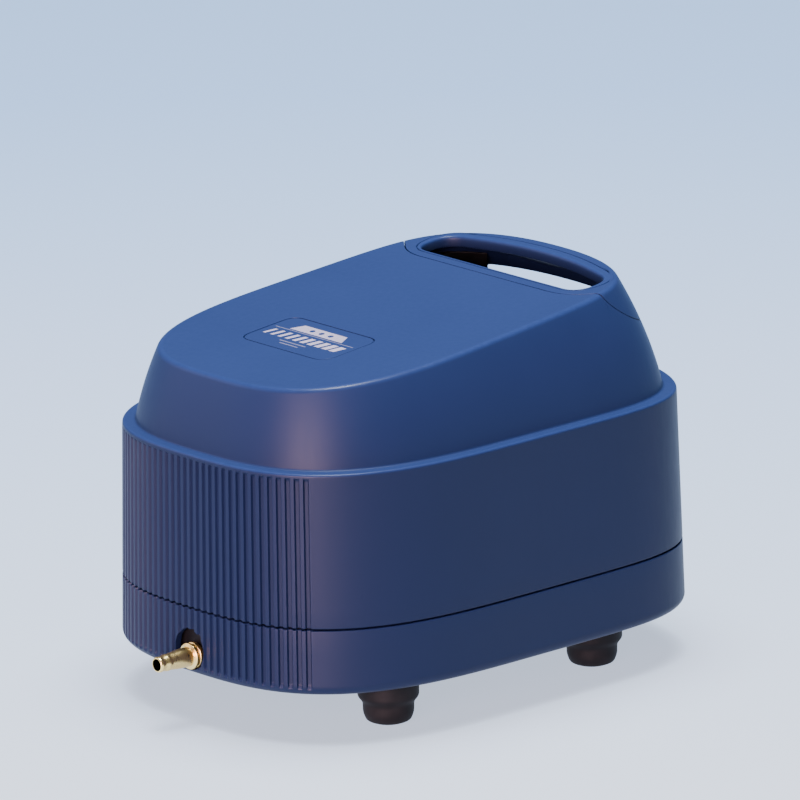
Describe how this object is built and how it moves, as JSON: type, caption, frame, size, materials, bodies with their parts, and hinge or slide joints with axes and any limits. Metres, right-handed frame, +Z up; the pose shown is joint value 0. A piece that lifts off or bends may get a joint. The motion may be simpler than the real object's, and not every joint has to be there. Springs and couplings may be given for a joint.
{
  "type": "aquarium air pump",
  "caption": "Linear-diaphragm air pump in a tapered ribbed casing with a sloping top, rear grip slot, rubber feet and a brass hose nozzle at the front.",
  "frame": {"origin": "centre of the bounding box's base, on the plane of the foot soles", "axes": "+Z up, -Y towards the front with the hose nozzle, +X to the right as seen from the front"},
  "size_m": [0.181, 0.2662, 0.1725],
  "materials": {
    "casing_blue": "satin moulded plastic with a fine grain",
    "black_plastic": "matte moulded plastic",
    "rubber": "matte moulded rubber",
    "brass": "bright turned brass",
    "steel": "zinc-plated steel",
    "aluminium": "die-cast, satin",
    "lamination": "varnished steel laminations",
    "nylon": "natural nylon",
    "copper": "enamelled copper wire",
    "magnet": "ground ferrite",
    "foam": "open-cell foam"
  },
  "bodies": {
    "casing": {"base_tray": "casing_blue", "bobbin_left": "nylon", "bobbin_right": "nylon", "cable_gland": "rubber", "coil_left": "copper", "coil_right": "copper", "filter_box": "black_plastic", "filter_foam": "foam", "foot_screw_front_left": "steel", "foot_screw_front_right": "steel", "foot_screw_rear_left": "steel", "foot_screw_rear_right": "steel", "head_cover_front": "aluminium", "head_cover_rear": "aluminium", "housing_screw_front_left": "steel", "housing_screw_front_right": "steel", "housing_screw_rear_left": "steel", "housing_screw_rear_right": "steel", "housing_seal": "rubber", "label_plate": "casing_blue", "laminated_core_left": "lamination", "laminated_core_right": "lamination", "motor_damper_front_left": "rubber", "motor_damper_front_right": "rubber", "motor_damper_rear_left": "rubber", "motor_damper_rear_right": "rubber", "motor_frame": "aluminium", "outlet_nozzle": "brass", "outlet_sleeve_front": "rubber", "outlet_sleeve_rear": "rubber", "pump_head_front": "aluminium", "pump_head_rear": "aluminium", "rubber_foot_front_left": "rubber", "rubber_foot_front_right": "rubber", "rubber_foot_rear_left": "rubber", "rubber_foot_rear_right": "rubber", "tank_body": "black_plastic", "tank_gasket": "rubber", "tank_lid": "black_plastic", "terminal_block": "nylon", "upper_housing": "casing_blue"},
    "armature": {"armature_rod": "aluminium", "magnet_front": "magnet", "magnet_rear": "magnet", "diaphragm_front": "rubber", "diaphragm_rear": "rubber", "diaphragm_clamp_front": "steel", "diaphragm_clamp_rear": "steel"},
    "handle_cap": {"handle_cap": "casing_blue", "handle_well": "black_plastic"},
    "intake_flap_front": {"intake_flap_front": "rubber"},
    "intake_flap_rear": {"intake_flap_rear": "rubber"},
    "exhaust_flap_front": {"exhaust_flap_front": "rubber"},
    "exhaust_flap_rear": {"exhaust_flap_rear": "rubber"}
  },
  "joints": [
    {"name": "armature_stroke", "type": "slide", "parent": "casing", "child": "armature", "axis": [0, 1, 0], "range_m": [-0.0025, 0.0025], "stiffness_N_per_m": 6000},
    {"name": "cap_lift", "type": "slide", "parent": "casing", "child": "handle_cap", "axis": [0, 0, 1], "range_m": [0, 0.06]},
    {"name": "intake_valve_front", "type": "hinge", "parent": "casing", "child": "intake_flap_front", "pos_m": [0, -0.04755, 0.113], "axis": [1, 0, 0], "range_deg": [0, 12], "stiffness_Nm_per_rad": 0.002},
    {"name": "exhaust_valve_front", "type": "hinge", "parent": "casing", "child": "exhaust_flap_front", "pos_m": [0, -0.05215, 0.075], "axis": [-1, 0, 0], "range_deg": [0, 15], "stiffness_Nm_per_rad": 0.002},
    {"name": "intake_valve_rear", "type": "hinge", "parent": "casing", "child": "intake_flap_rear", "pos_m": [0, 0.06385, 0.113], "axis": [-1, 0, 0], "range_deg": [0, 12], "stiffness_Nm_per_rad": 0.002},
    {"name": "exhaust_valve_rear", "type": "hinge", "parent": "casing", "child": "exhaust_flap_rear", "pos_m": [0, 0.06845, 0.075], "axis": [1, 0, 0], "range_deg": [0, 15], "stiffness_Nm_per_rad": 0.002}
  ]
}
